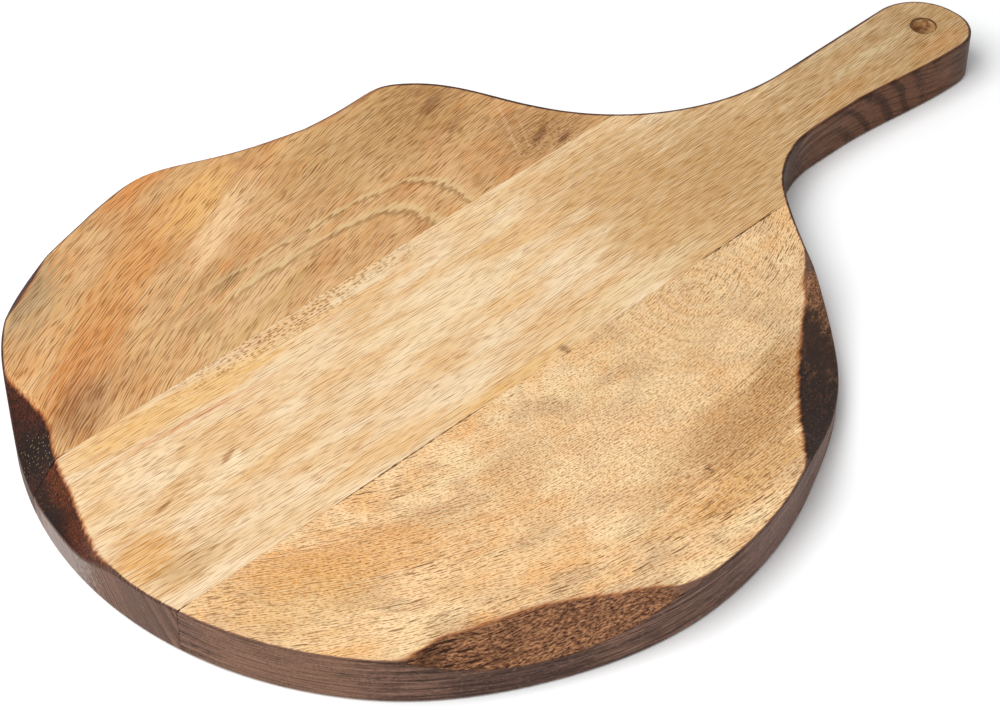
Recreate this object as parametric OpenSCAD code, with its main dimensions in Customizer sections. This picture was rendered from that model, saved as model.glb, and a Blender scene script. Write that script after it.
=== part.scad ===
// Round pizza serving board with a handle, edge-glued from three hardwood staves.
// The frame: +Z up, +Y along the handle, origin at the centre of the round body on the underside.
// The rim is a circle with a few gentle swells, and a sanding drum has cut sloping scoops into its
// top edge. Three staves run the full length, side by side, with a film of glue in each edge joint.

/* [Body] */
// Diameter of the round serving area, before swells and scoops
body_d = 305; // [260:1:360]
// Thickness of the board
board_t = 20.5; // [17:0.5:30]

/* [Handle] */
// Length of the handle, from the body circle to the tip
handle_l = 154.5; // [130:0.5:200]
// Width of the handle near its tip
handle_w = 40.5; // [34:0.5:52]
// How far the handle's axis lies right of the body's centre
handle_shift = 0.6; // [-4:0.1:4]
// How far the right side is drawn in at the waist
waist_in = 6; // [0:0.5:9]
// Length of the straight waist above the right neck
waist_l = 14; // [4:0.5:24]
// Radius of the tip's left corner
tip_left_r = 22; // [8:0.5:26]
// Radius of the tip's right corner
tip_right_r = 16; // [8:0.5:20]
// Radius of the long sweep on the left side of the neck
neck_left_r = 101; // [70:1:120]
// Radius of the tight curve on the right side of the neck
neck_right_r = 50; // [30:1:60]
// Distance from the body circle to the start of that curve on the handle's side
neck_right_l = 52.5; // [40:0.5:70]

/* [Hanging hole] */
// Diameter of the hole through the handle
hole_d = 10; // [6:0.5:16]
// Distance from the tip of the handle to the hole's centre
hole_edge = 17.5; // [13:0.5:30]
// Chamfer at both mouths of the hole
hole_chamfer = 0.6; // [0.2:0.1:1.5]

/* [Staves] */
// Width of the centre stave, which carries the handle
centre_stave_w = 86.5; // [70:0.5:110]
// How far the centre stave's middle lies left of the body's centre
centre_stave_shift = 5; // [0:0.1:12]
// Thickness of the glue in an edge joint
glue_t = 0.2; // [0.1:0.05:0.4]
// Depth of the open joint above and below the glue
glue_recess = 0.8; // [0.2:0.1:2]

/* [Rim] */
// Height of the tallest swell of the rim
swell_h = 8.6; // [0:0.1:12]
// How far a deep scoop bows into the top face past the straight line between its two ends
scoop_bow = 10; // [6:0.5:14]
// How far a typical scoop drops down the wall
scoop_drop = 10; // [6:0.5:12]

/* [Hidden] */

light_wood = "burlywood";
pale_wood = "navajowhite";
warm_wood = "sandybrown";
dried_glue = "saddlebrown";

// Body and handle
body_r = body_d / 2;
tip_y = body_r + handle_l;
handle_left_x = handle_shift - handle_w / 2;
handle_right_x = handle_shift + handle_w / 2;
waist_x = handle_right_x - waist_in;
hole_y = tip_y - hole_edge;
left_corner_r = min(tip_left_r, handle_w - tip_right_r);

// The left neck curve is an arc that touches the handle's side and the body circle
neck_left_x = handle_left_x - neck_left_r;
neck_left_y = sqrt(pow(body_r + neck_left_r, 2) - pow(neck_left_x, 2));
neck_left_az = atan2(neck_left_y, neck_left_x);

// The right neck curve is a shorter arc, and a sloping shoulder runs from its end to the rim
neck_right_x = waist_x + neck_right_r;
neck_right_y = body_r + neck_right_l;
neck_right_angle = 51;
shoulder_az = 48;
shoulder_pull_share = 0.33;
flare_y = neck_right_y + waist_l;

// Swells of the rim and one slight flat: azimuth, half-width in degrees, and share of swell_h
swell_azimuths = [shoulder_az, 139, -142, -25];
swell_half_angles = [24, 20, 22, 25];
swell_shares = [0.5, 1, 0.66, -0.17];

// Scoops in the top edge: azimuth, half-width in degrees, and shares of scoop_bow and scoop_drop.
// The first two overlap in one long scoop at the tail
scoop_azimuths = [-116, -109.3, -25.7, 41.3, 165, -149.5];
scoop_half_angles = [13, 20.8, 19.5, 19.5, 19.5, 7.5];
scoop_bow_shares = [0.98, 0.2, 0.96, 0.4, 0.93, 0.07];
scoop_drop_shares = [1, 1.12, 0.9, 1.1, 1.6, 0.2];

// The drum's working patch, as shares of the scoop's depth, chord and slope
patch_shares = [4, 1.35, 3];

// Seams between the staves, at the middle of each glue film
left_seam_x = -centre_stave_shift - centre_stave_w / 2;
right_seam_x = -centre_stave_shift + centre_stave_w / 2;

// Fineness of the outline and of the round cuts
body_step = 2.5;
arc_steps = 16;
drum_fn = 720;
hole_fn = 96;
overrun = 1;
reach = body_d + handle_l;

// An azimuth difference brought into -180 to 180
function turn(a) = a - 360 * floor((a + 180) / 360);

// A smooth bump of height 1, from -1 to 1
function lobe(u) = abs(u) < 1 ? pow(cos(90 * u), 2) : 0;

function sum(v, i = 0) = i < len(v) ? v[i] + sum(v, i + 1) : 0;

// Radius of the rim at an azimuth, before the scoops
function rim_r(a) = body_r
    + sum([for (i = [0 : len(swell_azimuths) - 1])
        swell_h * swell_shares[i] * lobe(turn(a - swell_azimuths[i]) / swell_half_angles[i])]);

// Unit vector at an angle, and a point at a radius and an angle
function heading(a) = [cos(a), sin(a)];
function polar(r, a) = r * heading(a);

// Points along an arc, from one angle to another
function arc(centre, r, from, to) =
    [for (i = [0 : arc_steps]) centre + polar(r, from + (to - from) * i / arc_steps)];

// The handle's right side eases outward from the waist to the tip's corner
function flare(y_end) = [for (i = [arc_steps - 1 : -1 : 0])
    let (u = i / arc_steps)
    [waist_x + waist_in * (1 - cos(180 * u)) / 2, flare_y + (y_end - flare_y) * u]];

// A cubic curve between two points, with the directions it leaves and arrives in
function curve(p, p_dir, q, q_dir, pull) = [for (i = [1 : arc_steps - 1])
    let (u = i / arc_steps, w = 1 - u, k = pull * norm(q - p))
    pow(w, 3) * p + 3 * w * w * u * (p + k * p_dir) + 3 * w * u * u * (q - k * q_dir) + pow(u, 3) * q];

function shoulder() = curve(
    [neck_right_x, neck_right_y] - polar(neck_right_r, neck_right_angle),
    heading(neck_right_angle - 90),
    polar(rim_r(shoulder_az), shoulder_az),
    heading(shoulder_az - 90),
    shoulder_pull_share);

function body_rim() =
    let (span = shoulder_az - neck_left_az + 360, n = round(span / body_step))
    [for (i = [0 : n - 1]) let (a = shoulder_az - span * i / n) polar(rim_r(a), a)];

// The whole outline, clockwise from the tip
function outline() = concat(
    arc([handle_right_x - tip_right_r, tip_y - tip_right_r], tip_right_r, 90, 0),
    flare(tip_y - tip_right_r),
    arc([neck_right_x, neck_right_y], neck_right_r, 180, 180 + neck_right_angle),
    shoulder(),
    body_rim(),
    arc([neck_left_x, neck_left_y], neck_left_r, 180 + neck_left_az, 360),
    arc([handle_left_x + left_corner_r, tip_y - left_corner_r], left_corner_r, 180, 90));

module blank() {
    linear_extrude(height = board_t) polygon(outline());
}

// One pass of the sanding drum: it slopes down and out, and runs out at the top edge on both sides
module scoop(i) {
    az = scoop_azimuths[i];
    half = scoop_half_angles[i];
    bow = scoop_bow * scoop_bow_shares[i];
    drop = scoop_drop * scoop_drop_shares[i];
    end_r = (rim_r(az - half) + rim_r(az + half)) / 2;
    chord = 2 * end_r * sin(half);
    start_r = end_r * cos(half) - bow;
    bite = rim_r(az) - start_r;
    slope = atan(drop / bite);
    sagitta = bow * sin(slope);
    drum_r = (pow(chord / 2, 2) + pow(sagitta, 2)) / (2 * sagitta);
    patch = [bite * patch_shares[0], chord * patch_shares[1], bite / cos(slope) * patch_shares[2]];
    rotate([0, 0, az])
        translate([start_r, 0, board_t])
            rotate([0, 90 + slope, 0])
                intersection() {
                    translate([-drum_r, 0, 0])
                        cylinder(r = drum_r, h = 2 * patch[2], center = true, $fn = drum_fn);
                    cube(patch, center = true);
                }
}

module carved_board() {
    difference() {
        blank();
        for (i = [0 : len(scoop_azimuths) - 1]) scoop(i);
    }
}

// The slice of the carved board between two planes across X, from z_low up to z_high
module slice(x_low, x_high, z_low, z_high) {
    intersection() {
        carved_board();
        translate([x_low, -reach, z_low])
            cube([x_high - x_low, 2 * reach, z_high - z_low]);
    }
}

module stave(x_low, x_high) {
    slice(x_low, x_high, -overrun, board_t + overrun);
}

module hanging_hole() {
    chamfer_d = hole_d + 2 * (hole_chamfer + overrun);
    translate([handle_shift, hole_y, 0]) {
        translate([0, 0, -overrun])
            cylinder(d = hole_d, h = board_t + 2 * overrun, $fn = hole_fn);
        translate([0, 0, -overrun])
            cylinder(d1 = chamfer_d, d2 = hole_d, h = hole_chamfer + overrun, $fn = hole_fn);
        translate([0, 0, board_t - hole_chamfer])
            cylinder(d1 = hole_d, d2 = chamfer_d, h = hole_chamfer + overrun, $fn = hole_fn);
    }
}

module left_stave() {
    color(warm_wood) stave(-reach, left_seam_x - glue_t / 2);
}

module centre_stave() {
    color(light_wood) difference() {
        stave(left_seam_x + glue_t / 2, right_seam_x - glue_t / 2);
        hanging_hole();
    }
}

module right_stave() {
    color(pale_wood) stave(right_seam_x + glue_t / 2, reach);
}

// The film of glue stops short of both faces and is cut flush with the rim
module glue_line(x) {
    color(dried_glue)
        slice(x - glue_t / 2, x + glue_t / 2, glue_recess, board_t - glue_recess);
}

module left_glue_line() {
    glue_line(left_seam_x);
}

module right_glue_line() {
    glue_line(right_seam_x);
}

left_stave();
centre_stave();
right_stave();
left_glue_line();
right_glue_line();
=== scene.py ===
# %% [markdown]
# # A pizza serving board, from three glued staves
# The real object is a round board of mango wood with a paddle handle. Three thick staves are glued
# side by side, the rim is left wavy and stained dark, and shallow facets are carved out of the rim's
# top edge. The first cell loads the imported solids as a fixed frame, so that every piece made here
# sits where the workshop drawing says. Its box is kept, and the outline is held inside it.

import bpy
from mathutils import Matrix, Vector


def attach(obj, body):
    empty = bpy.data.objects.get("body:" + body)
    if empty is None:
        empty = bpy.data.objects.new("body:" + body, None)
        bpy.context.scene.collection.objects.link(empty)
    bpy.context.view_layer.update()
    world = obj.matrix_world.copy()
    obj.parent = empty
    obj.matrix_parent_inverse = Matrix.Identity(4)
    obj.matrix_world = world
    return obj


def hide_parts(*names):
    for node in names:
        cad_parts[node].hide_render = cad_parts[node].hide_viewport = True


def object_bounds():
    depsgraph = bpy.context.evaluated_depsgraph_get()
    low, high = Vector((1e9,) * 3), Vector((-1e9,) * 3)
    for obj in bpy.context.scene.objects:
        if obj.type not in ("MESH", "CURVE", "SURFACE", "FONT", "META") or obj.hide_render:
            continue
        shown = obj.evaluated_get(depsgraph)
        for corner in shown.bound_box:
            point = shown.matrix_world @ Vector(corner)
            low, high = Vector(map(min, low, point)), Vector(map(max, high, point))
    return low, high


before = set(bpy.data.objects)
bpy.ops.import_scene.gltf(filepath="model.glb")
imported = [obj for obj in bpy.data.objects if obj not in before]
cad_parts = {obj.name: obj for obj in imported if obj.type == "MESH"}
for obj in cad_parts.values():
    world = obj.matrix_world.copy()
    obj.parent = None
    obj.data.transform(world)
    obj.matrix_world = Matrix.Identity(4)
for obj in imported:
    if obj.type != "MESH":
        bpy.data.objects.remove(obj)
drawn_low, drawn_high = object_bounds()
print("solids:", sorted(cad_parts), "box:", list(drawn_low), list(drawn_high))

# %% [markdown]
# ## Sizes
# A script that makes a shape twice has to use the same numbers twice. These are the drawing's sizes
# in millimetres. The staves are rebuilt from them here, instead of keeping the plain solids, because
# the wood needs eased edges, soft borders round the carved facets and ragged glue seams, and those
# need vertices that the plain solids don't have.

# %% Sizes of the board, in millimetres
from functools import partial
from math import atan, atan2, ceil, cos, degrees, hypot, pi, radians, sin, tan

import bmesh
import bpy
import numpy as np
from mathutils import Vector, noise
from mathutils.geometry import delaunay_2d_cdt

MM = 0.001
board_t, body_r = 20.5, 152.5
tip_y, handle_left_x, handle_right_x = 307.0, -19.65, 20.85
tip_left_r, tip_right_r = 22.0, 16.0
waist_x, waist_in, flare_y = 14.85, 6.0, 219.0
neck_left, neck_left_r = (-120.65, 222.95), 101.0
neck_right, neck_right_r, neck_right_angle = (64.85, 205.0), 50.0, 51.0
shoulder_az, shoulder_pull = 48.0, 0.33
left_seam_x, right_seam_x, glue_t = -48.25, 38.25, 0.2
hole_at, hole_r = (0.6, 289.5), 5.0
# The rim's swells: azimuth, half span in degrees, share of the full height.
swells = [(48, 24, 0.5), (139, 20, 1.0), (-142, 22, 0.66), (-25, 25, -0.17)]
swell_h = 8.6
print("board", 2 * body_r, "mm wide,", tip_y + body_r, "mm long,", board_t, "mm thick")

# %% [markdown]
# ## The outline
# The rim of the body is a circle with slow swells, as a rasp leaves it, and the handle grows out of
# it through two different neck curves. A curve object could be drawn by hand over the photograph,
# but a function of the azimuth keeps the swells smooth and lets every later step ask for as many
# points as it needs.


# %% Curves of the outline
def rim_r(azimuth):
    """Radius of the wavy rim, in mm, at an azimuth in degrees."""
    reach = body_r
    for centre, half, share in swells:
        u = ((azimuth - centre + 180) % 360 - 180) / half
        if abs(u) < 1:
            reach += swell_h * share * cos(radians(90 * u)) ** 2
    return reach


def polar(r, azimuth):
    return np.array((r * cos(radians(azimuth)), r * sin(radians(azimuth))))


def arc(centre, r, start, end, steps=28):
    return [np.array(centre) + polar(r, start + (end - start) * i / steps) for i in range(steps + 1)]


neck_left_az = degrees(atan2(neck_left[1], neck_left[0]))
shoulder_a = np.array(neck_right) - polar(neck_right_r, neck_right_angle)
shoulder_b = polar(rim_r(shoulder_az), shoulder_az)
pull = shoulder_pull * np.linalg.norm(shoulder_b - shoulder_a)
corners = [shoulder_a, shoulder_a + pull * polar(1, neck_right_angle - 90),
           shoulder_b - pull * polar(1, shoulder_az - 90), shoulder_b]
shoulder = [sum(c * k * (1 - t) ** (3 - i) * t ** i for i, (c, k) in enumerate(zip(corners, (1, 3, 3, 1))))
            for t in np.linspace(0, 1, 30)[1:-1]]
flare_top = tip_y - tip_right_r
flare = [np.array((waist_x + waist_in * (1 - cos(pi * u)) / 2, flare_y + (flare_top - flare_y) * u))
         for u in np.linspace(1, 0, 32)[1:]]
rim_span = shoulder_az - neck_left_az + 360
rim = [polar(rim_r(a), a) for a in shoulder_az - rim_span * np.linspace(0, 1, 388)[:-1]]
print("the rim spans", round(rim_span, 1), "degrees, the neck takes the rest")

# %% Points of the outline, clockwise from the tip
drawn = (arc((handle_right_x - tip_right_r, flare_top), tip_right_r, 90, 0) + flare
         + arc(neck_right, neck_right_r, 180, 180 + neck_right_angle) + shoulder + rim
         + arc(neck_left, neck_left_r, 180 + neck_left_az, 360, 60)
         + arc((handle_left_x + tip_left_r, tip_y - tip_left_r), tip_left_r, 180, 90))
longest_gap, same_place = 2.0, 1e-6
outline = []
for a, b in zip(drawn, drawn[1:] + drawn[:1]):
    gap = np.linalg.norm(b - a)
    pieces = max(1, ceil(gap / longest_gap))
    outline += [a + (b - a) * i / pieces for i in range(pieces) if gap > same_place]
# The drawing's own curves are faceted, so its box is some hundredths of a millimetre tighter.
outline = np.clip(outline, np.array(drawn_low[:2]) / MM, np.array(drawn_high[:2]) / MM)
ahead = np.roll(outline, -1, 0) - np.roll(outline, 1, 0)
ahead /= np.linalg.norm(ahead, axis=1)[:, None]
inward = np.stack([ahead[:, 1], -ahead[:, 0]], 1)
print("outline:", len(outline), "points, from", outline.min(0).round(2), "to", outline.max(0).round(2), "mm")

# %% [markdown]
# ## The carved facets
# Each facet is the mark of a drum sander held at a slant against the rim's top edge. Cutting with
# boolean drums would work, but a boolean leaves scattered small faces along the cut that shade badly.
# A drum is a simple surface, so its height above any point of the board has a formula, and the edge
# of the board can simply follow the lowest one.

# %% Height of the carved top
# The passes of the drum: azimuth, half span in degrees, shares of the full bow and the full drop.
facets = [(-116, 13, 0.98, 1), (-109.3, 20.8, 0.2, 1.12), (-25.7, 19.5, 0.96, 0.9),
          (41.3, 19.5, 0.4, 1.1), (165, 19.5, 0.93, 1.6), (-149.5, 7.5, 0.07, 0.2)]
facet_bow, facet_drop = 10.0, 10.0


def carved(x, y):
    """Height of the carved top at board places in mm, as numpy arrays."""
    low = np.full(np.shape(x), board_t)
    for az, half, bow_share, drop_share in facets:
        bow, drop = facet_bow * bow_share, facet_drop * drop_share
        end_r = (rim_r(az - half) + rim_r(az + half)) / 2
        reach = end_r * sin(radians(half))
        start_r = end_r * cos(radians(half)) - bow
        slant = atan(drop / (rim_r(az) - start_r))
        sagitta = bow * sin(slant)
        drum_r = (reach ** 2 + sagitta ** 2) / (2 * sagitta)
        out = x * cos(radians(az)) + y * sin(radians(az)) - start_r
        along = -x * sin(radians(az)) + y * cos(radians(az))
        near = (np.abs(along) < 1.3 * reach) & (out > -bow)
        lift = drum_r - np.sqrt(np.maximum(drum_r ** 2 - along ** 2, 0))
        low = np.where(near, np.minimum(low, board_t - out * tan(slant) + lift / cos(slant)), low)
    return low


probe, widest, shallowest = 0.2, 60, 1e-4
grid = outline[:, None, :] + np.arange(0, widest, probe)[None, :, None] * inward[:, None, :]
cut = carved(grid[..., 0], grid[..., 1]) < board_t - shallowest
facet_w = np.where(cut[:, 0], np.argmin(cut, axis=1) * probe, 0.0)
facet_fall = board_t - carved(outline[:, 0], outline[:, 1])
print("facets: widest", facet_w.max().round(1), "mm, deepest", facet_fall.max().round(1), "mm")

# %% [markdown]
# ## The edge, station by station
# A maker breaks every edge with sandpaper, and an edge without that small round looks computer made.
# At each point of the outline the edge is one short line of points, from the underside, up the wall,
# over the broken corner, up the facet and on to the flat top. Joining the lines side by side gives
# tidy four-sided faces. A facet also fades out softly at its two ends, because a sanding drum lifts
# off gradually. Two numbers travel with each point: how far in from the stain's border it lies, and
# how much of a facet it is on. The materials read them later.

# %% Soft ends of the facets, and the stain's border
sand_w, sand_drop = 0.9, 0.3
far_az, far_half = 165, 34
tail_az, tail_half, tail_drop = -93, 9.5, 4.0
azimuths = np.degrees(np.arctan2(outline[:, 1], outline[:, 0]))
far_side = np.abs((azimuths - far_az + 180) % 360 - 180) < far_half


def lifted(values, spread):
    """The same values with the ends of a facet faded out, over so many stations."""
    side = 20
    share = np.exp(-0.5 * (np.arange(-side, side + 1) / spread) ** 2)
    return np.convolve(np.concatenate([values[-side:], values, values[:side]]), share / share.sum(), "valid")


def hump(centre, half):
    """For each station, 1 at an azimuth, falling smoothly to 0 at half a span to either side."""
    return np.cos(np.radians(90 * np.clip((azimuths - centre) / half, -1, 1))) ** 2


# The drum was lifted off more slowly on the far side, so that facet ends in rounder corners.
facet_w, facet_fall = (np.where(far_side, lifted(v, 5.5), lifted(v, 2.6)) for v in (facet_w, facet_fall))
# The front left facet ends in a steep tail, where the drum was tipped up.
facet_fall = facet_fall + tail_drop * hump(tail_az, tail_half)
band_w = np.maximum(facet_w, sand_w)
soft = np.minimum(1.6, 0.3 * band_w)
carving = np.clip((np.maximum(facet_w, facet_fall) - 0.8) / 2.5, 0, 1)
# The stain stops short of a facet's end in one place and runs past it in others: azimuth, half span, mm.
stain_w = band_w.copy()
for centre, half, shift in [(-125.5, 8, -1.8), (62, 6, 3.2), (-8, 8, 2.6),
                            (-40, 4, 1.4), (-88, 5, 0.8), (130, 75, 0.9)]:
    stain_w += shift * hump(centre, half)
stain_w = np.maximum(stain_w, sand_w)
print("stain reaches", stain_w.max().round(1), "mm in from the rim at most")

# %% Lines of points up the edge
under_r, corner_r = 1.0, 0.5
# Values of "clear" away from the border: bare wood, the wall and the broken corner above it.
on_bare, on_wall, on_corner = 9, -5, -4


def bend(a, b, c, t):
    """Point of the curve from a to c that leans towards b."""
    return (1 - t) ** 2 * a + 2 * t * (1 - t) * b + t ** 2 * c


def edge_top(depth):
    """Height of the sanded and carved top, at a distance in from the rim for each station."""
    sanded = board_t - sand_drop * np.maximum(0, 1 - depth / sand_w)
    return np.minimum(sanded, board_t - facet_fall * np.maximum(0, 1 - depth / band_w))


corner_z = edge_top(0.0)
facet_low = edge_top(corner_r)
inner = band_w - soft
# Each row: distance in from the outline, height, distance in from the stain's border, share of facet.
rows = [(7.0, 0, on_bare, 0), (under_r + 0.8, 0, 1.5, 0)]
for turn in np.linspace(0, 90, 5):
    rows.append((under_r * (1 - sin(radians(turn))), under_r * (1 - cos(radians(turn))), 0.5 - turn / 20, 0))
for share in np.linspace(0, 1, 7)[1:]:
    rows.append((0, under_r + (corner_z - corner_r - under_r) * share, on_wall, 0))
for t in (0.25, 0.5, 0.75):
    height = bend(corner_z - corner_r, corner_z, facet_low, t)
    rows.append((bend(0, 0, corner_r, t), height, on_corner, t * carving))
for share in np.linspace(0, 1, 14):
    depth = np.minimum(corner_r, inner) + np.maximum(inner - corner_r, 0) * share
    rows.append((depth, edge_top(depth), depth - stain_w, carving))
for t in (0.2, 0.4, 0.6, 0.8):
    depth = inner + 2 * soft * t
    rows.append((depth, bend(edge_top(inner), board_t, board_t, t), depth - stain_w, carving))
for extra in (0.0, 0.8, 2.0, 4.0, 7.0):
    depth = band_w + soft + extra
    rows.append((depth, board_t, depth - stain_w, carving if extra < 7 else 0))
rows = [[np.broadcast_to(np.asarray(v, float), len(outline)) for v in row] for row in rows]
print("edge:", len(rows), "rows of", len(outline), "points")

# %% [markdown]
# ## The board as one solid
# The flat top and underside are filled with triangles that join the innermost rows. The fill gets its
# own scattered points, six millimetres apart, and a line of points along each seam, so that the staves
# can be parted there cleanly. The hanging hole is drilled by leaving a round gap in both fills and
# joining the gaps with a wall that is a little uneven, as a drill leaves it in open-grained wood.

# %% Build the edge of the whole board
whole = bmesh.new()
marks = [whole.verts.layers.float.new(n) for n in ("clear", "facet", "bore")]


def add_point(x, y, z, values):
    v = whole.verts.new((x * MM, y * MM, z * MM))
    for layer, value in zip(marks, values):
        v[layer] = value
    return v


def join_rows(lines):
    """Four-sided faces between closed lines of points, each with the next."""
    for a, b in zip(lines, lines[1:]):
        for i in range(len(a)):
            j = (i + 1) % len(a)
            whole.faces.new((a[j], a[i], b[i], b[j]))


ring_rows = []
for depth, height, clear, facet in rows:
    at = outline + depth[:, None] * inward
    ring_rows.append([add_point(x, y, z, (c, f, 0)) for (x, y), z, c, f in zip(at, height, clear, facet)])
join_rows(ring_rows)
print("edge:", len(whole.faces), "faces")

# %% Drill the hanging hole
hole_steps, hole_margin, most_rough = 72, 2.2, 0.12
# From the top down: how much wider than the drill, height, share of raw bore.
hole_profile = [(hole_margin, board_t, 0), (0.75, board_t, 0.1), (0.45, board_t - 0.12, 0.5),
                (0.18, board_t - 0.4, 0.8), (0, board_t - 0.9, 1)]
hole_profile += [(0, board_t * share, 1) for share in (0.85, 0.7, 0.5, 0.25)]
hole_profile += [(0, 0.7, 1), (0.45, 0, 0.4), (hole_margin, 0, 0)]
hole_rows = []
for wider, z, bore in hole_profile:
    ring = []
    for i in range(hole_steps):
        a = 2 * pi * i / hole_steps
        rough = 0.2 * noise.noise((3 * cos(a), 3 * sin(a), z * 0.15))
        rough = bore * (rough + 0.22 * noise.noise((9 * cos(a), 9 * sin(a), z * 0.3)))
        reach = hole_r + wider + min(rough, most_rough)
        x, y = hole_at[0] + reach * cos(a), hole_at[1] + reach * sin(a)
        ring.append(add_point(x, y, z, (on_bare, 0, bore)))
    hole_rows.append(ring)
join_rows(hole_rows[::-1])
print("hole:", len(hole_rows), "rows of", hole_steps, "points")

# %% Fill the flat top and the underside
seam_gap, fill_gap, fill_rows = 1.6, 6.0, 5.2
clearance, seam_end, seam_side = 1.1, 1.2, 2.5


def fill_flat(border, hole, z, upward):
    known = border + hole
    flat = [Vector((v.co.x / MM, v.co.y / MM)) for v in known]
    edges = [(i, (i + 1) % len(border)) for i in range(len(border))]
    edges += [(len(border) + i, len(border) + (i + 1) % len(hole)) for i in range(len(hole))]
    fence = np.array([tuple(p) for p in flat])

    def room(x, y):
        return np.min(np.hypot(fence[:, 0] - x, fence[:, 1] - y))

    scatter = []
    for seam_x in (left_seam_x, right_seam_x):
        scatter += [(seam_x, y) for y in np.arange(-150, 176, seam_gap) if room(seam_x, y) > seam_end]
    for i, y in enumerate(np.arange(-150, 306, fill_rows)):
        for x in np.arange(-160 + fill_gap / 2 * (i % 2), 160, fill_gap):
            if min(abs(x - left_seam_x), abs(x - right_seam_x)) > seam_side:
                scatter.append((x, y))
    flat += [Vector(p) for p in scatter if room(*p) > clearance]
    points, _, faces, origins, _, _ = delaunay_2d_cdt(flat, edges, [], 1, 1e-6)
    made = {}
    for face in faces:
        middle = sum((points[i] for i in face), Vector((0, 0))) / 3
        if hypot(middle.x - hole_at[0], middle.y - hole_at[1]) < hole_r + hole_margin - 0.1:
            continue
        for i in face:
            if i not in made:
                source = origins[i][0] if origins[i] else len(known)
                made[i] = (known[source] if source < len(known)
                           else add_point(points[i].x, points[i].y, z, (on_bare, 0, 0)))
        corner = [made[i] for i in face]
        whole.faces.new(corner if upward else corner[::-1])


fill_flat(ring_rows[-1], hole_rows[0], board_t, True)
fill_flat(ring_rows[0], hole_rows[-1], 0, False)
bmesh.ops.recalc_face_normals(whole, faces=whole.faces)
loose = [v for v in whole.verts if not v.link_faces]
bmesh.ops.delete(whole, geom=loose, context="VERTS")
open_edges = sum(len(e.link_faces) != 2 for e in whole.edges)
print("whole board:", len(whole.verts), "vertices,", len(whole.faces), "faces,", open_edges, "open edges,",
      round(whole.calc_volume() * 1e6, 1), "cubic cm")

# %% [markdown]
# ## Three staves
# The board is glued from three staves, and the joint shows only where the glue has shrunk back or the
# plane tore the edge: as a dark line in the middle of the right-hand seam, again near the neck, and
# down the front rim. So the solid is parted along the two seam planes, and the cut edges draw back by
# half a glue film everywhere and by a little more, unevenly, where the real joint has opened.

# %% Part the staves and open the seams
# Stretches of each seam that have opened: from, to (mm along the board), widest opening.
opened = {left_seam_x: [(-141, -128, 0.25), (-150, -143, 0.25)],
          right_seam_x: [(-78, -2, 0.3), (-52, -38, 0.35), (112, 158, 0.35), (-150, -143, 0.5)]}
open_above, sharp_angle = 0.3 * board_t, 35


def opening(seam_x, y):
    """How far the joint has opened at a place along the seam, in mm."""
    wide = 0.0
    for start, end, most in opened[seam_x]:
        u = (y - start) / (end - start)
        if 0 < u < 1:
            torn = 0.5 + 1.1 * noise.noise((seam_x, y * 0.45, 3.0))
            torn += 0.5 * noise.noise((seam_x, y * 1.3, 7.0))
            wide += most * max(0.0, min(1.0, torn)) * min(1.0, 8 * u, 8 * (1 - u))
    return wide


def to_object(name, solid):
    """Hands a finished mesh over to an object of the scene."""
    mesh = bpy.data.meshes.new(name)
    solid.to_mesh(mesh)
    solid.free()
    made = bpy.data.objects.new(name, mesh)
    bpy.context.collection.objects.link(made)
    return made


def make_stave(name, keep):
    """One stave: keep lists its seam planes, as (x of the plane, +1 to keep the right of it)."""
    part = whole.copy()
    for seam_x, side in keep:
        geom = part.verts[:] + part.edges[:] + part.faces[:]
        result = bmesh.ops.bisect_plane(part, geom=geom, dist=1e-7, plane_co=(seam_x * MM, 0, 0),
                                        plane_no=(side, 0, 0), clear_inner=True)
        rim_edges = [g for g in result["geom_cut"] if isinstance(g, bmesh.types.BMEdge)]
        face = bmesh.ops.contextual_create(part, geom=rim_edges)["faces"]
        for v in [v for f in face for v in f.verts]:
            back = glue_t / 2 + (opening(seam_x, v.co.y / MM) if v.co.z > open_above * MM else 0)
            v.co.x = (seam_x + side * back) * MM
        bmesh.ops.triangulate(part, faces=face, quad_method="BEAUTY", ngon_method="BEAUTY")
    bmesh.ops.recalc_face_normals(part, faces=part.faces)
    for e in part.edges:
        e.smooth = e.calc_face_angle(0) < radians(sharp_angle)
    for f in part.faces:
        f.smooth = True
    print(name, len(part.verts), "vertices, open edges", sum(len(e.link_faces) != 2 for e in part.edges))
    return to_object(name, part)


left = make_stave("left_stave_wood", [(left_seam_x, -1)])
centre = make_stave("centre_stave_wood", [(left_seam_x, 1), (right_seam_x, -1)])
right = make_stave("right_stave_wood", [(right_seam_x, 1)])
whole.free()

# %% [markdown]
# ## Glue films
# Cured glue fills each joint. Where the seam is tight it stands level with the wood, and where the
# joint opened it has sunk away and leaves a shadow. A thin strip with its own top line shows both,
# which the drawing's even film can't.

# %% Make the glue films
film_inset, film_low, film_sections = 0.3, 0.8, 420
least_sunk, most_sunk, end_sunk, end_span = 0.015, 0.8, 0.4, 6.0


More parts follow.
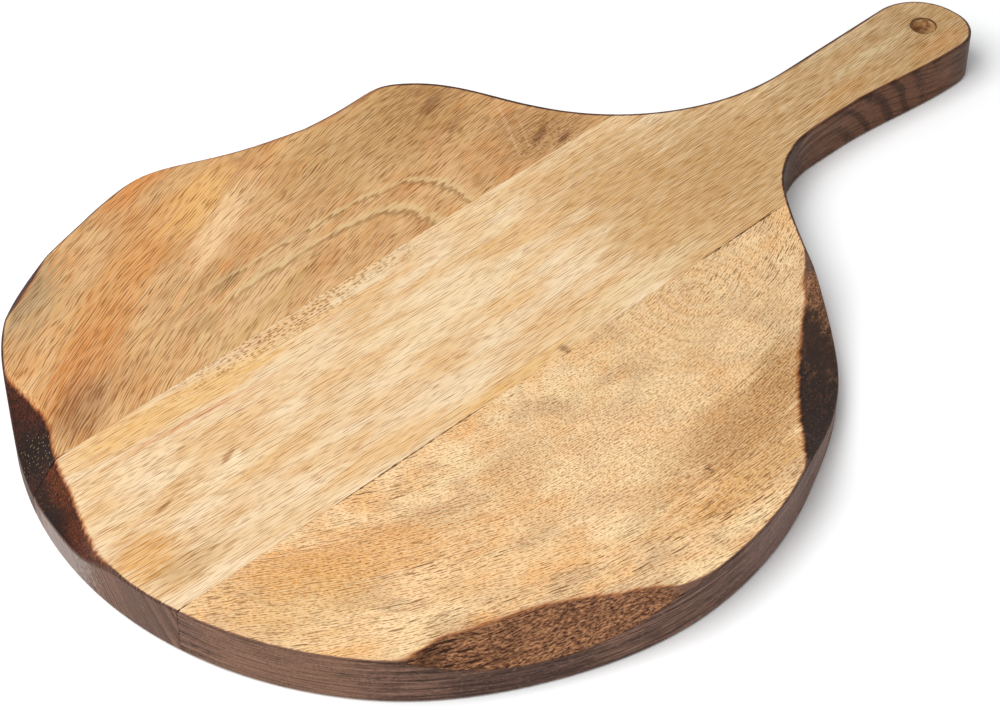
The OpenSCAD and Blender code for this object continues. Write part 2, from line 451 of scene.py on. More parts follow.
def make_glue(name, seam_x):
    crossings = [a[1] + (b[1] - a[1]) * (seam_x - a[0]) / (b[0] - a[0])
                 for a, b in zip(outline, np.roll(outline, -1, 0))
                 if (a[0] - seam_x) * (b[0] - seam_x) <= 0 and a[0] != b[0]]
    low_y, high_y = min(crossings) + film_inset, max(crossings) - film_inset
    half = glue_t / 2
    film = bmesh.new()
    sections = []
    for y in np.linspace(low_y, high_y, film_sections):
        top = float(carved(np.array([seam_x]), np.array([y]))[0])
        sunk = least_sunk + min(most_sunk, 8.0 * opening(seam_x, y))
        if top < board_t or min(y - low_y, high_y - y) < end_span:
            sunk += end_sunk
        sections.append([film.verts.new(((seam_x + x) * MM, y * MM, z * MM)) for x, z in (
            (-half, film_low), (half, film_low), (half, top - sunk), (-half, top - sunk))])
    for a, b in zip(sections, sections[1:]):
        for i in range(4):
            film.faces.new((a[i], a[(i + 1) % 4], b[(i + 1) % 4], b[i]))
    film.faces.new(sections[0])
    film.faces.new(sections[-1][::-1])
    bmesh.ops.recalc_face_normals(film, faces=film.faces)
    print(name, "from", round(low_y, 1), "to", round(high_y, 1), "mm")
    return to_object(name, film)


left_glue = make_glue("left_glue_film", left_seam_x)
right_glue = make_glue("right_glue_film", right_seam_x)

# %% [markdown]
# ## Helpers for every material
# Colours are read off as the familiar hex values, which are made for screens, while the shader works
# with linear light, so one function converts them. The second helper adds one node, with its settings
# and its links, and hands back the socket that the next node needs. The third ties it to one tree of
# nodes, under the short name "add", and so a material reads from top to bottom like a recipe.


# %% Colour and node helpers
def linear(hex_colour):
    """An sRGB hex colour as linear RGBA."""
    parts = [int(hex_colour[i:i + 2], 16) / 255 for i in (1, 3, 5)]
    return [c / 12.92 if c <= 0.04045 else ((c + 0.055) / 1.055) ** 2.4 for c in parts] + [1.0]


def node(tree, kind, feeds=(), out=0, **settings):
    """Adds a node. feeds lists, or maps, its inputs: a socket is linked, a hex colour or a value is set."""
    made = tree.nodes.new("ShaderNode" + kind)
    for name, value in settings.items():
        setattr(made, name, value)
    for key, value in (feeds.items() if isinstance(feeds, dict) else enumerate(feeds)):
        if isinstance(value, bpy.types.NodeSocket):
            tree.links.new(value, made.inputs[key])
        else:
            made.inputs[key].default_value = linear(value) if isinstance(value, str) else value
    return made.outputs[out] if len(made.outputs) else made


def adder(owner):
    """Empties the node tree of a material or a world, and hands back node() for that tree."""
    owner.use_nodes = True
    owner.node_tree.nodes.clear()
    return partial(node, owner.node_tree)


RAMP = {"interpolation_type": "SMOOTHSTEP"}
# A Mix of colours takes its share on input 0 and the two colours on inputs 6 and 7.
TINT = {"data_type": "RGBA", "out": 2}
TIMES, PLUS, MINUS, MOST = ({"operation": o} for o in ("MULTIPLY", "ADD", "SUBTRACT", "MAXIMUM"))
LENGTH, DOT = ({"operation": o, "out": "Value"} for o in ("LENGTH", "DOT_PRODUCT"))
ENDLESS = 1e6
print("a tan such as #D6A36B is", [round(c, 3) for c in linear("#D6A36B")[:3]], "in linear light")

# %% [markdown]
# ## The grain
# Mango wood is tan to golden, with open pores that a plane cuts into short dark dashes. Each stave was
# sawn at its own angle: on the left one the dashes lean, the middle one is straight-grained, and on the
# right one they turn slowly round a broad curve. A picture of wood would do for one side only, so the
# wood is a solid pattern instead: it runs through the whole stave and the rim shows the same fibres.
# The grain follows arcs round a far centre, so that "along" and "across" the grain are two plain numbers.


# %% Places on the board, along and across the grain
def grain_of(add, centre, bow, stray):
    """Places in mm, and the same places as (along, across, depth) of a grain that bows round a far centre."""
    place = add("VectorMath", {0: add("TexCoord", out="Object"), "Scale": 1 / MM}, operation="SCALE")
    split = add("SeparateXYZ", [add("VectorMath", [place, (*centre, 0)], **MINUS)]).node.outputs
    facing = add("Math", [split["X"], 1 if bow > 0 else -1], **TIMES)
    turned = add("Math", [split["Y"], facing], operation="ARCTAN2")
    along = add("Math", [turned, abs(bow)], **TIMES)
    across = add("VectorMath", [add("CombineXYZ", [split["X"], split["Y"]])], **LENGTH)
    # The fibres wander by a few millimetres, as they do round small branches.
    slow = add("VectorMath", [place, (1 / 42, 1 / 90, 1 / 42)], **TIMES)
    wander = add("TexNoise", {"Vector": slow, "Scale": 1, "Detail": 2})
    across = add("Math", [across, add("MapRange", [wander, 0, 1, -stray, stray])], **PLUS)
    return place, add("CombineXYZ", [along, across, split["Z"]])


def in_cells(add, grain, length, width, seed):
    """The grain counted in cells of a length and a width in mm, from a start of its own."""
    cells = (1 / length, 1 / width, 1 / width)
    return add("VectorMath", [grain, cells, (seed,) * 3], operation="MULTIPLY_ADD")


def streaks(add, grain, length, width, seed, detail):
    """Soft streaks along the grain, from 0 to 1; length and width of a typical one in mm."""
    sized = in_cells(add, grain, length, width, seed)
    return add("TexNoise", {"Vector": sized, "Scale": 1, "Detail": detail, "Roughness": 0.6})


def pore_dashes(add, grain, length, width, reach, seed):
    """Pores cut open by the plane: one dash in each long cell; length and width of a cell in mm."""
    sized, blur = in_cells(add, grain, length, width, seed), 0.07
    near = add("TexVoronoi", {"Vector": sized, "Scale": 1, "Randomness": 0.8}, out="Distance")
    return add("MapRange", [near, reach + blur, reach - blur, 0, 1], **RAMP)


def hatch(add, grain, length, spacing, seed):
    """Fine even lines along the grain, above 0 on a line and below 0 beside it; sizes in mm."""
    sway = add("MapRange", [streaks(add, grain, 5 * length, 6 * spacing, seed, 1), 0, 1, 0, 14])
    across = add("VectorMath", [grain, (0, 2 * pi / spacing, 1.3 / spacing)], **DOT)
    wave = add("Math", [add("Math", [across, sway], **PLUS)], operation="SINE")
    broken = streaks(add, grain, length, 0.8 * spacing, seed + 5, 0)
    broken = add("MapRange", [broken, 0.25, 0.75, -1.1, 0.9])
    return add("Math", [wave, broken], **PLUS)


print("grain, streaks, hatch and pores can be drawn")

# %% [markdown]
# ## Clouds of colour
# Oil, sap and sunlight leave broad clouds in the wood: orange, grey, cream or olive. Each is a soft oval
# with its edge torn along the grain, laid where the real board has it. A noise would scatter such
# clouds by chance, and then the board would be any board, not this one. Some clouds are painted light
# instead: the broad dark ones towards the handle are partly painted shade of the light's fall-off, dark ones
# in the neck are painted shade, and a pale grey one on the rim is a painted reflection.


# %% Lay clouds of colour
def oval(add, place, torn, x, y, half_l, half_w, lean, strength=1):
    """1 inside a soft oval with torn edges, 0 outside; sizes in mm, lean in degrees to the left."""
    turn, sizes = (0, 0, radians(lean)), (half_w, half_l, ENDLESS)
    local = add("Mapping", [place, (x, y, 0), turn, sizes], vector_type="TEXTURE")
    ragged = add("Math", [add("VectorMath", [local], **LENGTH), torn], **PLUS)
    return add("MapRange", [ragged, 1.2, 0.4, 0, strength], **RAMP)


def lay_clouds(add, colour, place, torn, clouds):
    for *where, tint, strength in clouds:
        colour = add("Mix", {0: oval(add, place, torn, *where, strength), 6: colour, 7: tint}, **TINT)
    return colour


print("clouds can be laid")

# %% [markdown]
# ## The planed and oiled face
# Seen close, the face is a dense hatch of fine lines, darker where pores are cut open and lighter where
# fibres catch the oil. The real pores are about 0.15 mm wide, finer than a pixel of the picture, so they
# are drawn two to three times as wide, and the hatch keeps their length and direction.


# %% Colour and relief of the planed face
def planed_face(add, spec, place, grain):
    even = add("MapRange", [streaks(add, grain, *spec["blotch"], 3.1, 1), 0.32, 0.68, 0, 1], **RAMP)
    colour = add("Mix", {0: even, 6: spec["dark"], 7: spec["light"]}, **TINT)
    for tint, *streak, most in spec["drifts"]:
        share = add("MapRange", [streaks(add, grain, *streak, 1.5), 0.46, 0.7, 0, most], **RAMP)
        colour = add("Mix", {0: share, 6: colour, 7: tint}, **TINT)
    torn = add("MapRange", [streaks(add, grain, 30, 1.8, 5.7, 3), 0.2, 0.8, -0.5, 0.5])
    colour = lay_clouds(add, colour, place, torn, spec["clouds"])

    # Fine hatch: dark and light lines side by side, in two sizes.
    relief = pores = 0
    for *lines, dark, light in spec["hatch"]:
        line = hatch(add, grain, *lines)
        low = add("MapRange", [line, 0.7, 1.25, 0, dark], **RAMP)
        high = add("MapRange", [line, -0.4, -1.4, 0, light], **RAMP)
        colour = add("Mix", {0: low, 6: colour, 7: spec["line_tint"]}, blend_type="MULTIPLY", **TINT)
        colour = add("Mix", {0: high, 6: colour, 7: spec["line_light"]}, **TINT)
        relief = add("Math", [relief, low], **PLUS)

    # Pores in two or three sizes, thicker in some bands than in others.
    for length, width, reach, seed, strength, thin, bands in spec["pores"]:
        crowd = streaks(add, grain, *bands, seed + 9, 1)
        crowd = add("MapRange", [crowd, 0.35, 0.62, thin, strength], **RAMP)
        dash = add("Math", [pore_dashes(add, grain, length, width, reach, seed), crowd], **TIMES)
        pores = add("Math", [pores, dash], **MOST)
    # Where the saw met the pores end on they show as dots, and the dashes may fade out.
    for where, (*dash, strength), dashes_left in spec["dots"]:
        zone = oval(add, place, torn, *where)
        dot = pore_dashes(add, grain, *dash)
        dot = add("Math", [dot, add("Math", [zone, strength], **TIMES)], **TIMES)
        fade = add("MapRange", [zone, 0, 1, 1, dashes_left])
        pores = add("Math", [add("Math", [pores, fade], **TIMES), dot], **MOST)
    colour = add("Mix", {0: pores, 6: colour, 7: spec["pore_colour"]}, **TINT)
    return colour, add("Math", [relief, pores], **PLUS), torn, pores


print("the planed face can be drawn")

# %% [markdown]
# ## Growth rings that show
# Three places show rings: pale and dark arches in the left stave, cut off by the seam, faint round ones
# in the right stave near the neck, and dark curves on the side of the handle. Distance from a centre,
# wrapped into a wave, gives rings; the squared distance gives the boxy arches of a plain-sawn plank.


# %% Draw the growth rings
def growth_rings(add, colour, place, torn, at, sizes, spacing, lines, most, wander, seen,
                 waver=0.09, detail=3, boxy=False, tear=0, between=()):
    """Rings round a place, in the oval where they are seen. Each line: colour, offset, sharpness."""
    local = add("Mapping", [place, at, (0, 0, 0), sizes], vector_type="TEXTURE")
    if boxy:
        local = add("VectorMath", [local, local], **TIMES)
    far = add("VectorMath", [local], **LENGTH)
    uneven = add("TexNoise", {"Vector": place, "Scale": waver, "Detail": detail})
    far = add("Math", [far, add("MapRange", [uneven, 0, 1, -wander, wander])], **PLUS)
    far = add("Math", [far, add("Math", [torn, tear], **TIMES)], **PLUS)
    shown = oval(add, place, torn, *seen)
    for start, end in between:
        shown = add("Math", [shown, add("MapRange", [far, start, end, 0, 1])], **TIMES)
    for tint, offset, sharp in lines:
        phase = add("Math", [add("Math", [far, offset], **MINUS), 2 * pi / spacing], **TIMES)
        wave = add("Math", [phase], operation="COSINE")
        band = add("MapRange", [wave, sharp, 1, 0, most], **RAMP)
        band = add("Math", [band, shown], **TIMES)
        colour = add("Mix", {0: band, 6: colour, 7: tint}, **TINT)
    return colour


print("growth rings can be drawn")

# %% [markdown]
# ## The dark stain
# The rim and the carved facets were brushed with a dark water stain and left satin. It sinks deeper
# into open pores, so the fibres show through as brown and red lights. On the plain rim it stops sharply
# at the broken edge, and on a facet it thins out over a few millimetres through red-brown to orange.


# %% Colour of the stained rim and facets
def rim_tone(add, spec, place, torn, split):
    if spec["rim_lengthwise"]:
        # The rim of an outer stave cuts the fibres at a shallow angle, so they show as lines all along it.
        round_it = add("Math", [split["Y"], split["X"]], operation="ARCTAN2")
        sawn = add("CombineXYZ", [add("Math", [round_it, body_r], **TIMES), split["Z"]])
    else:
        # The front rim of the middle stave is end grain, where the growth rings stand on a slant.
        sawn = add("CombineXYZ", [split["Y"], add("VectorMath", [place, (0.86, 0, 0.51)], **DOT)])
    light = add("MapRange", [streaks(add, sawn, 26, 1.2, 33, 3), 0.32, 0.68, 0, 1], **RAMP)
    tone = add("Mix", {0: light, 6: spec["rim_dark"], 7: spec["rim_light"]}, **TINT)
    # Some rim clouds are painted light: a pale grey one is a painted reflection of the white backdrop on the
    # satin wall, and dark ones in the neck are painted shade.
    tone = lay_clouds(add, tone, place, torn, spec["rim_clouds"])
    for ring in spec["rim_rings"]:
        tone = growth_rings(add, tone, place, torn, **ring)
    scored = add("MapRange", [hatch(add, sawn, 12, 1.3, 37), 0.2, 1.2, 0, 0.45], **RAMP)
    return add("Mix", {0: scored, 6: tone, 7: "#1E120C"}, **TINT)


def facet_tone(add, spec, place, grain, torn, clear, fleck, fibre):
    tone = add("Mix", {0: fleck, 6: spec["facet_dark"], 7: spec["facet_light"]}, **TINT)
    patchy = add("MapRange", [fibre, 0.3, 0.6, 0.5, 1], **RAMP)
    tone = add("Mix", {0: patchy, 6: spec["facet_dark"], 7: tone}, **TINT)
    tone = lay_clouds(add, tone, place, torn, spec["facet_clouds"])
    outer = add("MapRange", [clear, -3, -8, 0, spec["outer_dark"]], **RAMP)
    tone = add("Mix", {0: outer, 6: tone, 7: "#170E0A"}, **TINT)
    for where, (*dash, strength), tint in spec["specks"]:
        speck = pore_dashes(add, grain, *dash)
        speck = add("Math", [speck, oval(add, place, torn, *where, strength)], **TIMES)
        tone = add("Mix", {0: speck, 6: tone, 7: tint}, **TINT)
    return tone


print("rim and facets can be coloured")


# %% Lay the stain over the wood
def stain_over(add, spec, colour, place, grain, torn, pores):
    clear = add("Attribute", out="Fac", attribute_name="clear")
    facet = add("Attribute", out="Fac", attribute_name="facet")
    # The border is sharp on the plain rim, and softer and more ragged on a facet.
    soft_w = add("MapRange", [facet, 0, 1, 0.5, 2])
    edge = add("Math", [clear, add("Math", [torn, soft_w], **TIMES)], **PLUS)
    edge = add("Math", [edge, soft_w], operation="DIVIDE")
    stained = add("MapRange", [edge, 0.2, -0.6, 0, 1], **RAMP)
    halo = add("MapRange", [edge, 0.7, -0.3, 0, 0.85], **RAMP)
    halo = add("Math", [halo, add("MapRange", [facet, 0, 1, 0.55, 1])], **TIMES)
    colour = add("Mix", {0: halo, 6: colour, 7: "#A4582A"}, **TINT)

    fibre = streaks(add, grain, 22, 1.3, 31, 3)
    speckle = streaks(add, grain, 1.6, 0.5, 43, 2)
    fleck = add("MapRange", [speckle, 0.36, 0.64, 0, 1])
    lit = add("MapRange", [speckle, 0.56, 0.72, 0, 0.5], **RAMP)
    split = add("SeparateXYZ", [place]).node.outputs
    tone = rim_tone(add, spec, place, torn, split)
    tone = add("Mix", {0: lit, 6: tone, 7: spec["rim_fleck"]}, **TINT)
    carved_tone = facet_tone(add, spec, place, grain, torn, clear, fleck, fibre)
    tone = add("Mix", {0: facet, 6: tone, 7: carved_tone}, **TINT)
    # Stain gathers in a thin dark line on the broken top edge of the plain rim.
    line = add("MapRange", [clear, -4.4, -4, 0, 0.42])
    outside = add("MapRange", [clear, -0.5, -0.2, 1, 0])
    upper = add("MapRange", [split["Z"], 5, 7, 0, 1])
    for share in (outside, upper, add("Math", [1, facet], **MINUS)):
        line = add("Math", [line, share], **TIMES)
    grainy = add("MapRange", [fleck, 0, 1, 0.22, 0])
    deep = add("Math", [pores, 0.5], **TIMES)
    for share, tint in ((line, "#1A0F0A"), (grainy, "#1E120C"), (deep, "#22140D")):
        tone = add("Mix", {0: share, 6: tone, 7: tint}, **TINT)
    return add("Mix", {0: stained, 6: colour, 7: tone}, **TINT), stained, fibre


print("stain can be laid")

# %% [markdown]
# ## One material for each stave
# Oiled and stained wood is a plain dielectric: no metal, an IOR near 1.48 from the oil, and roughness
# about 0.6 on the open face and 0.45 where the stain was wiped smooth. The bore of the hanging hole is
# raw wood that the drill left fuzzy, a little darker and rougher than the face.


# %% Put a stave's material together
def stave_wood(name, **spec):
    wood = bpy.data.materials.new(name)
    add = adder(wood)
    place, grain = grain_of(add, spec["centre"], spec["bow"], spec["stray"])
    colour, relief, torn, pores = planed_face(add, spec, place, grain)
    for ring in spec["rings"]:
        colour = growth_rings(add, colour, place, torn, **ring)
    bore = add("Attribute", out="Fac", attribute_name="bore")
    fuzz = add("TexNoise", {"Vector": place, "Scale": 1 / 2.6, "Detail": 2})
    raw = add("Mix", {0: add("MapRange", [fuzz, 0.3, 0.7, 0, 1]), 6: "#94643C", 7: "#F0C48C"}, **TINT)
    colour = add("Mix", {0: bore, 6: colour, 7: raw}, **TINT)
    # Painted shade darkens the broken mouth of the hole, where the bore value runs from 0 to 1.
    mouth = add("Math", [bore, add("Math", [1, bore], **MINUS)], **TIMES)
    mouth = add("MapRange", [add("Math", [mouth, fuzz], **TIMES), 0.02, 0.09, 0, 0.9], **RAMP)
    colour = add("Mix", {0: mouth, 6: colour, 7: "#4A2E1A"}, **TINT)
    colour, stained, fibre = stain_over(add, spec, colour, place, grain, torn, pores)
    open_rough = add("MapRange", [fibre, 0.2, 0.8, 0.66, 0.54])
    wiped_rough = add("MapRange", [fibre, 0.2, 0.8, 0.55, 0.4])
    rough = add("Mix", {0: stained, 2: open_rough, 3: wiped_rough}, data_type="FLOAT")
    height = add("Math", [add("Math", [fibre, 0.4], **TIMES), relief], **MINUS)
    bump = add("Bump", {"Height": height, "Strength": 0.4, "Distance": 0.00015})
    add("OutputMaterial", [add("BsdfPrincipled", {
        "Base Color": colour, "Roughness": rough, "Normal": bump, "IOR": 1.48, "Specular IOR Level": 0.1})])
    print(name, "has", len(wood.node_tree.nodes), "nodes")
    return wood


# %% [markdown]
# ## What sets the staves apart
# Sizes and places are in mm, leans in degrees to the left. drifts: colour, length, width, seed, most.
# clouds: x, y, half length, half width, lean, colour, strength. hatch: length, spacing, seed, dark and
# light share. pores: length, width, reach, seed, strength in full and in thin bands, size of a band.
# dots and specks: an oval, one dash as length, width, reach, seed and strength, then the share of pores
# left between the dots, or the colour of the specks.

# %% The left stave: golden, with leaning dashes and orange and grey clouds
left_wood = stave_wood(
    "oiled_mango_wood_left", centre=(390, 150), bow=-480, stray=6,
    blotch=(24, 10), dark="#CE9962", light="#DDAF77",
    drifts=[("#DA924C", 22, 10, 8.4, 0.42), ("#E8BF8C", 26, 12, 14.9, 0.35), ("#C09A68", 22, 10, 19.3, 0.3)],
    clouds=[
        (-104, -60, 46, 12, 28, "#D9944F", 0.6), (-79, -99, 30, 12, 29, "#CF8645", 0.75),
        (-63, -110, 22, 11, 30, "#925C36", 0.65), (-127, -88, 30, 13, 40, "#AC9069", 0.85),
        (-150, -14, 26, 8, 20, "#DB8A42", 0.7), (-122, -6, 26, 11, 24, "#EDB76C", 0.7),
        (-106, -8, 32, 8, 28, "#F5CE9C", 0.8), (-60, -30, 46, 11, 18, "#E6BF88", 0.6),
        # The broad darker clouds at the far end, from y 64 mm on, are partly the wood's own tone and partly
        # painted shade where the light falls off towards the far end.
        (-72, -8, 40, 10, 20, "#DAB484", 0.6), (-106, 64, 46, 26, 12, "#C59D66", 0.75),
        (-106, 99, 28, 26, 11, "#BA8B55", 0.8), (-105, 103, 10, 3.5, 20, "#85572D", 0.7),
        (-62, 122, 26, 18, 6, "#B98A58", 0.8), (-60, 121, 7, 1.7, 20, "#7C4C2B", 0.85),
        (-52, 127, 6, 1.7, 20, "#7C4C2B", 0.85), (-71, 114, 20, 1.1, 61, "#DDB083", 0.75),
        (-65, 117, 14, 0.9, 61, "#D9AA7A", 0.6), (-84, -38, 24, 3, 26, "#B2844D", 0.5),
        (-67, -50, 9, 3.5, 10, "#9A7240", 0.5), (-79, -28, 10, 3, 16, "#967446", 0.7),
        (-58, -20, 40, 3, 16, "#C2995E", 0.6)],
    hatch=[(10, 1.1, 1.7, 0.6, 0.2), (6, 0.8, 4.9, 0.4, 0.15)], line_tint="#9A683E", line_light="#F3D6AE",
    pores=[(12, 0.75, 0.16, 12.3, 1, 0.5, (30, 9)), (19, 0.95, 0.14, 15.1, 1, 0.45, (60, 12))],
    dots=[((-98, 98, 40, 36, 0), (8, 0.8, 0.26, 23, 0.55), 1),
          ((-58, 122, 20, 14, 0), (3, 1, 0.3, 29, 0.6), 1)], pore_colour="#6E3E1C",
    rings=[dict(at=(-48, 0, 0), sizes=(33, 73, ENDLESS), boxy=True, spacing=0.45, most=0.6,
                lines=[("#E4C692", 1, 0.55), ("#8C6238", 0.93, 0.8)], wander=0.07, tear=0.2,
                between=[(0.35, 0.5), (1.35, 1.2)], seen=(-66, 24, 84, 36, 0))],
    rim_lengthwise=True, rim_dark="#38231B", rim_light="#6E4A3A", rim_fleck="#7A5242", rim_clouds=[],
    rim_rings=[],
    facet_dark="#1C0D08", facet_light="#5E3020", outer_dark=0.35,
    facet_clouds=[(-60, -133, 16, 12, -60, "#140C09", 0.8)],
    # The pale specks on the left facet are painted glints.
    specks=[((-58, -132, 13, 11, -60), (1.4, 0.85, 0.2, 41, 0.8), "#B39468")])

# %% The centre stave: straight and pale, browner towards the handle
centre_wood = stave_wood(
    "oiled_mango_wood_centre", centre=(-4000, 40), bow=4000, stray=2,
    blotch=(40, 9), dark="#E7BC86", light="#F4D8B0",
    drifts=[("#EEBC79", 60, 10, 8.4, 0.4), ("#FDE6BA", 40, 8, 14.9, 0.4), ("#DAAD71", 50, 8, 19.3, 0.3)],
    clouds=[
        (-39, -80, 62, 7, -3, "#EDBC74", 0.75), (-30, -84, 44, 1.3, -4, "#D58E55", 0.6),
        (-45, -30, 40, 4, 0, "#E6BA84", 0.8), (-38, -2, 50, 3, -4, "#E9B878", 0.6),
        # The four broad clouds from y 128 mm to the tip darken the handle end: partly the wood's own tone,
        # partly painted shade where the light falls off towards the far end.
        (4, 128, 44, 60, 0, "#CFA267", 0.85), (6, 172, 44, 44, 0, "#C4985F", 0.85),
        (4, 235, 50, 40, 0, "#C09762", 0.9), (4, 290, 40, 40, 0, "#B9925F", 0.9),
        (-2, 257, 26, 4, 0, "#D6BC8C", 0.7), (-16, 246, 24, 3, 0, "#D2B688", 0.6),
        (13, 284, 18, 6, 0, "#C68E52", 0.6), (7, 228, 20, 5, 0, "#C8924F", 0.5),
        (10, -138, 15, 12, 0, "#DB9A42", 0.7), (24, -132, 18, 7, 0, "#BE8E4C", 0.6),
        (-13, 27, 40, 8, 0, "#F6DBAE", 0.7), (30, 86, 40, 7, 0, "#EED1A1", 0.7),
        (36, 15, 40, 5, 0, "#E8B66D", 0.75), (36.6, 39, 2.6, 1.9, 0, "#8E5E2C", 0.9),
        (-7, -87, 4.5, 1.2, 20, "#A8713F", 0.7), (-5, -85, 3, 1.5, 20, "#FFECC2", 0.8),
        (-3, -120, 4, 0.9, 10, "#A87141", 0.8)],
    hatch=[(10, 1.1, 1.7, 0.5, 0.25), (6, 0.8, 4.9, 0.4, 0.2)], line_tint="#A87848", line_light="#FAE8C8",
    pores=[(10, 0.7, 0.16, 12.3, 0.85, 0.4, (40, 8)), (16, 0.9, 0.14, 15.1, 0.95, 0.35, (60, 12))],
    dots=[((-45, -26, 62, 8, 0), (2.8, 1.1, 0.35, 17.7, 0.75), 0.3),
          ((-8, -116, 36, 40, 0), (9, 0.75, 0.26, 23, 0.5), 1)], pore_colour="#96622C", rings=[],
    rim_lengthwise=False, rim_dark="#573C30", rim_light="#A07A66", rim_fleck="#A8714A",
    rim_clouds=[
        # The pale grey cloud on the front left rim is a painted reflection of the white backdrop on the satin
        # wall.
        (-26, -152, 20, 24, 0, "#B7A8A2", 0.75), (24, -152, 16, 16, 0, "#735A50", 0.6),
        (17, 250, 60, 14, 0, "#7C523A", 0.8), (-34, 205, 90, 24, 0, "#523A2F", 0.75),
        # The dark cloud at x 24, y 178 is painted shade in the neck's hollow.
        (24, 178, 26, 18, 0, "#38271F", 0.7), (14, 304, 22, 20, 0, "#57483F", 0.8)],
    rim_rings=[dict(at=(0, 208, -4), sizes=(ENDLESS, 1, 0.8), spacing=10.5, most=0.65,
                    lines=[("#2A1810", 0, -0.3)], waver=0.07, detail=1, wander=4,
                    seen=(14, 244, 34, 40, 0))],
    facet_dark="#1E0B05", facet_light="#7A3A1A", outer_dark=0.85,
    facet_clouds=[(-34, -148, 16, 4, -72, "#1C100B", 0.6)],
    specks=[((-40, -143, 8, 8, 0), (1.9, 1, 0.2, 41, 0.5), "#A9773F")])

# %% The right stave: peach, fine dots, the grain turning round a broad curve
right_wood = stave_wood(
    "oiled_mango_wood_right", centre=(-200, 45), bow=300, stray=5,
    blotch=(22, 14), dark="#F2C48A", light="#FEDAA8",
    drifts=[("#F0AF65", 26, 14, 8.4, 0.55), ("#FFE6B4", 26, 12, 14.9, 0.6), ("#D2AE84", 20, 14, 19.3, 0.7)],
    clouds=[
        (50, 97, 50, 34, 0, "#EFC691", 0.6), (62, -86, 50, 16, -28, "#E5A55E", 0.75),
        (66, -112, 34, 22, -20, "#DBA862", 0.5), (110, 58, 50, 18, 2, "#C28A4A", 0.75),
        (131, 40, 40, 7, 0, "#DCA765", 0.7), (99, 92, 18, 12, 20, "#BE8C52", 0.75),
        (68, -12, 20, 14, 0, "#D6AA74", 0.5), (95, -60, 40, 20, -28, "#F9C789", 0.4),
        (86, 16, 44, 26, -6, "#FFD8A4", 0.45), (39, 39, 2.2, 1.2, 0, "#8E5E2C", 0.8),
        (117, 32, 2.6, 0.7, -75, "#643B20", 0.9)],
    hatch=[(1.8, 1.1, 1.7, 0.7, 0.3), (1.1, 0.8, 4.9, 0.55, 0.3)], line_tint="#B07E4E", line_light="#FAE2BA",
    pores=[(8, 0.6, 0.28, 12.3, 0.5, 0.15, (30, 9)), (15, 1.15, 0.23, 15.1, 1, 0.3, (50, 12)),
           (10, 0.9, 0.23, 21.7, 0.9, 0.2, (40, 14))],
    dots=[((78, 32, 96, 46, -4), (0.9, 0.8, 0.34, 17.7, 0.42), 0.05),
          ((66, -104, 34, 24, -28), (9, 0.7, 0.22, 33, 0.35), 0.35)], pore_colour="#6E441F",
    rings=[dict(at=(50, 97, 0), sizes=(1, 1, ENDLESS), spacing=7, most=0.38,
                lines=[("#ECCFA6", 1, 0.55), ("#C09A6C", -1, 0.8)], wander=1.4, tear=0.4,
                seen=(50, 97, 46, 30, 0))],
    rim_lengthwise=True, rim_dark="#4E372D", rim_light="#A47C69", rim_fleck="#A58573",
    rim_clouds=[
        (75, -135, 16, 40, 30, "#A07860", 0.65), (134, -76, 34, 14, -28, "#4A3630", 0.6),
        # The dark cloud at x 46, y 162 is painted shade in the neck's hollow.
        (150, 38, 30, 12, 0, "#947468", 0.6), (46, 162, 16, 16, 0, "#38271F", 0.7)], rim_rings=[],
    facet_dark="#4C2A1C", facet_light="#BE8860", outer_dark=0,
    facet_clouds=[(122, 76, 60, 46, 0, "#140602", 0.94), (96, 112, 16, 20, 0, "#2F1D12", 0.9),
                  (106, -98, 7, 12, -17, "#3A2014", 0.7)],
    specks=[((118, 84, 48, 24, 30), (6, 1.4, 0.26, 41, 0.7), "#5E3420"),
            ((114, -94, 24, 12, -28), (16, 1.2, 0.34, 51, 0.9), "#26130B")])

# %% [markdown]
# ## Cured wood glue
# Set glue in a mango joint is amber and slightly glossy, with dust in it. Level with the face it is
# sanded and oiled along with the wood and hardly shows; where it has sunk below the face it is coloured dark.

# %% The glue's material
glue = bpy.data.materials.new("cured_wood_glue")
add = adder(glue)
here = add("TexCoord", out="Object")
dust = add("TexNoise", {"Vector": here, "Scale": 420.0, "Detail": 3.0})
amber = add("Mix", {0: dust, 6: "#B88A56", 7: "#DDB682"}, **TINT)
level = add("SeparateXYZ", [here]).node.outputs["Z"]
sunk = add("MapRange", [level, (board_t - 0.12) * MM, (board_t - 0.4) * MM, 0, 1], **RAMP)
amber = add("Mix", {0: sunk, 6: amber, 7: "#2E1C12"}, **TINT)
sheen = add("MapRange", [dust, 0, 1, 0.4, 0.65])
dimple = add("Bump", {"Height": dust, "Strength": 0.3, "Distance": 0.0001})
add("OutputMaterial", [add("BsdfPrincipled", {
    "Base Color": amber, "Roughness": sheen, "Normal": dimple, "IOR": 1.46})])
print("glue material has", len(glue.node_tree.nodes), "nodes")

# %% [markdown]
# ## Putting the pieces on the frame
# Nothing on the board moves, so all five pieces ride on its one body. Each stands for the plain solid
# of the same place, which stays hidden as the collision shape.

# %% Ride and replace
for piece, wood, solid, finish in [
        (left, left_wood, "left_stave", "left_stave_wood"),
        (centre, centre_wood, "centre_stave", "centre_stave_wood"),
        (right, right_wood, "right_stave", "right_stave_wood"),
        (left_glue, glue, "left_glue_line", "wood_glue"),
        (right_glue, glue, "right_glue_line", "wood_glue")]:
    piece.data.materials.append(wood)
    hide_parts(solid)
    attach(piece, "root")

# %% [markdown]
# ## Camera, floor and light
# The board was photographed from about 43 degrees above the floor with a long lens, which hardly tapers
# it. It lies on a white sweep under one large softbox, hung over it and to the left, so its shadow is soft
# and falls to the right. Seen by the camera the paper is a little over-bright, as it is in such pictures,
# so that only the deeper part of the board's shadow shows.


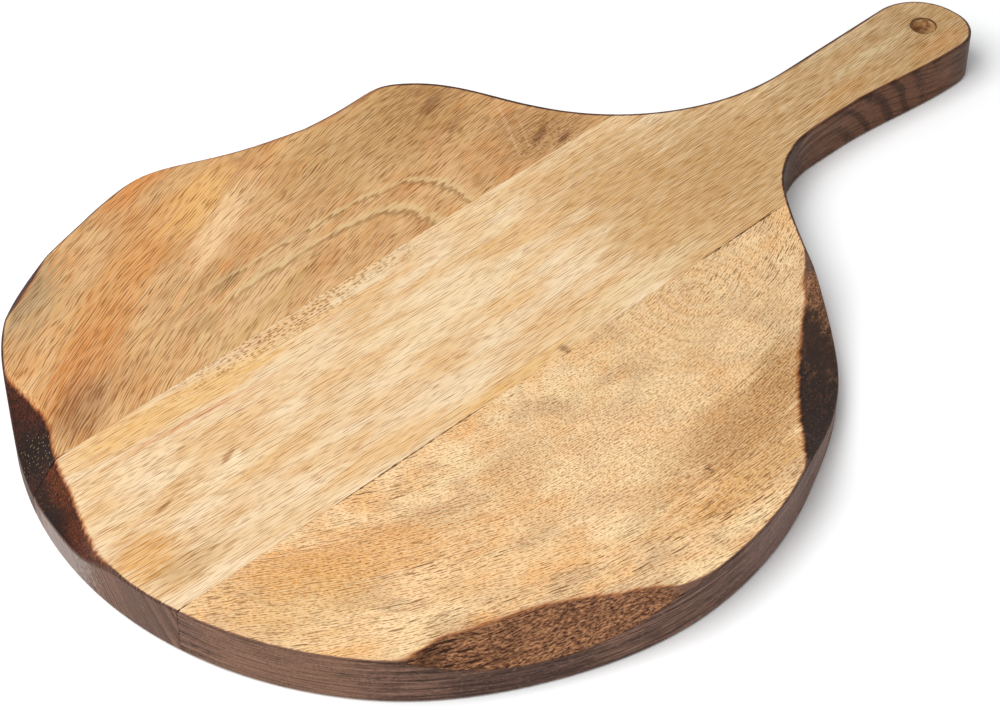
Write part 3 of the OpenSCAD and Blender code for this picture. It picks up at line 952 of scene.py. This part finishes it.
# %% Camera
def hang(name, data, spot, target):
    """Hangs up a camera or a lamp at a spot and turns it to a target, both in metres."""
    hung = bpy.data.objects.new(name, data)
    hung.location = spot
    hung.rotation_euler = (Vector(target) - hung.location).to_track_quat("-Z", "Y").to_euler()
    bpy.context.collection.objects.link(hung)
    return hung


lens = bpy.data.cameras.new("camera")
lens.lens, lens.sensor_width = 101.25, 36.0
camera = hang("camera", lens, (0.5708, -0.5060, 0.7409), (0.0227, 0.0194, 0.0203))
bpy.context.scene.camera = camera
bpy.context.scene.view_settings.view_transform = "Standard"
print("camera", [round(v, 3) for v in camera.location])


# %% Floor
def seen_directly(add):
    """1 for rays that show the thing itself, 0 for rays that only carry its light."""
    ray = add("LightPath").node.outputs
    shown = add("Math", [ray["Is Camera Ray"], ray["Is Glossy Ray"]], **MOST)
    return add("Math", [shown, ray["Is Transmission Ray"]], **MOST)


sheet = bmesh.new()
bmesh.ops.create_grid(sheet, x_segments=4, y_segments=4, size=6.0)
floor = to_object("floor", sheet)
floor.location.z = -0.4 * MM
paper = bpy.data.materials.new("white_paper_sweep")
add = adder(paper)
shown = seen_directly(add)
bright = add("Mix", {0: shown, 6: "#EDEDED", 7: (1.14, 1.15, 1.155, 1.0)}, **TINT)
sheet_of_paper = add("BsdfDiffuse", [bright])
# Away from the board the sweep goes over into plain white, so the lamp's fall-off leaves no grey corners.
here, board_middle = add("TexCoord", out="Object"), (0.0, 0.07, 0.0)
away = add("VectorMath", [here, board_middle], out="Value", operation="DISTANCE")
plain = add("Math", [add("MapRange", [away, 0.32, 0.6, 0, 1], **RAMP), shown], **TIMES)
glow = add("Emission", ["#FFFFFF", 1.0])
add("OutputMaterial", [add("MixShader", [plain, sheet_of_paper, glow])])
floor.data.materials.append(paper)
print("floor laid")

# %% World and lamp
world = bpy.data.worlds.new("studio")
bpy.context.scene.world = world
add = adder(world)
strength = add("MapRange", [seen_directly(add), 0, 1, 0.38, 1])
add("OutputWorld", [add("Background", ["#FFFFFF", strength])])

softbox = bpy.data.lights.new("softbox_over_left", "AREA")
softbox.size, softbox.energy = 1.4, 27.0
hang("softbox_over_left", softbox, (-0.16, -0.82, 1.5), (0, 0.05, 0))
